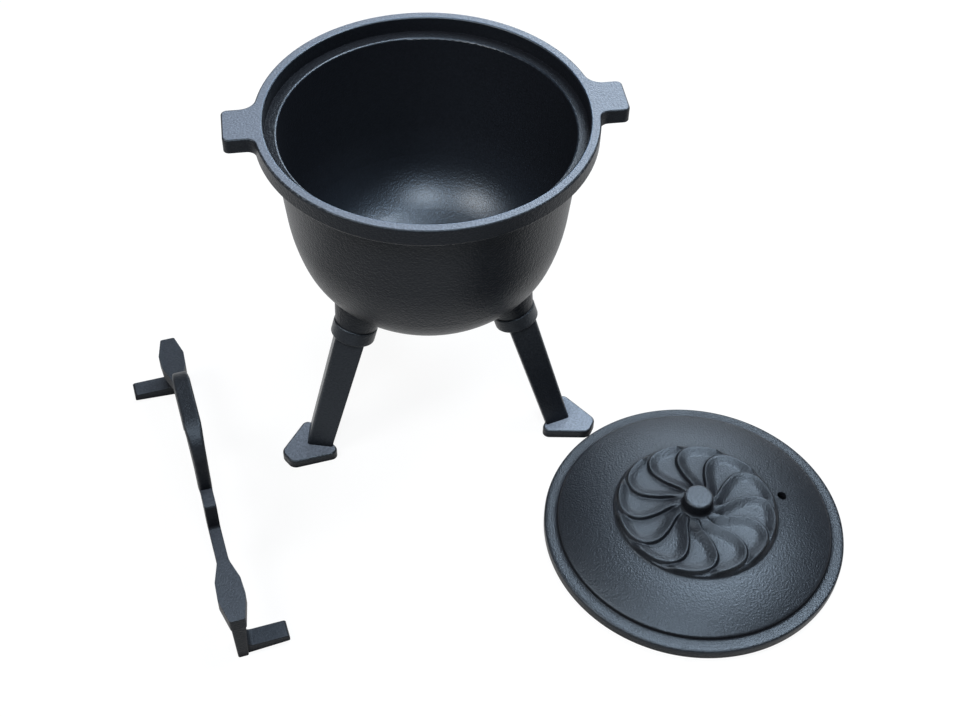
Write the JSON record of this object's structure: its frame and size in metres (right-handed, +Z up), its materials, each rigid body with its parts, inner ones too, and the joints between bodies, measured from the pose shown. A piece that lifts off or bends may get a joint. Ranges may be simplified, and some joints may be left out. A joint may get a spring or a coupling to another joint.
{
  "type": "camp dutch oven",
  "caption": "Cast-iron camp dutch oven on splayed legs, with a loose domed lid with a swirl rosette and knob, and a clamp bar that holds the lid shut.",
  "frame": {"origin": "on the pot's axis at floor level", "axes": "+Z up along the pot's axis, +X through the right lug, +Y away from the viewer"},
  "size_m": [0.6168, 0.5068, 0.3176],
  "materials": {
    "pot": "seasoned satin black, as cast",
    "leg_left": "seasoned satin black, as cast",
    "leg_right": "seasoned satin black, as cast",
    "leg_rear": "seasoned satin black, as cast",
    "stud_left": "zinc plated",
    "stud_right": "zinc plated",
    "stud_rear": "zinc plated",
    "lid": "seasoned satin black, as cast",
    "clamp_bar": "seasoned satin black, as cast"
  },
  "bodies": {
    "root": {"pot": "pot", "leg_left": "leg_left", "leg_right": "leg_right", "leg_rear": "leg_rear", "stud_left": "stud_left", "stud_right": "stud_right", "stud_rear": "stud_rear", "lid": "lid", "clamp_bar": "clamp_bar"}
  },
  "joints": []
}
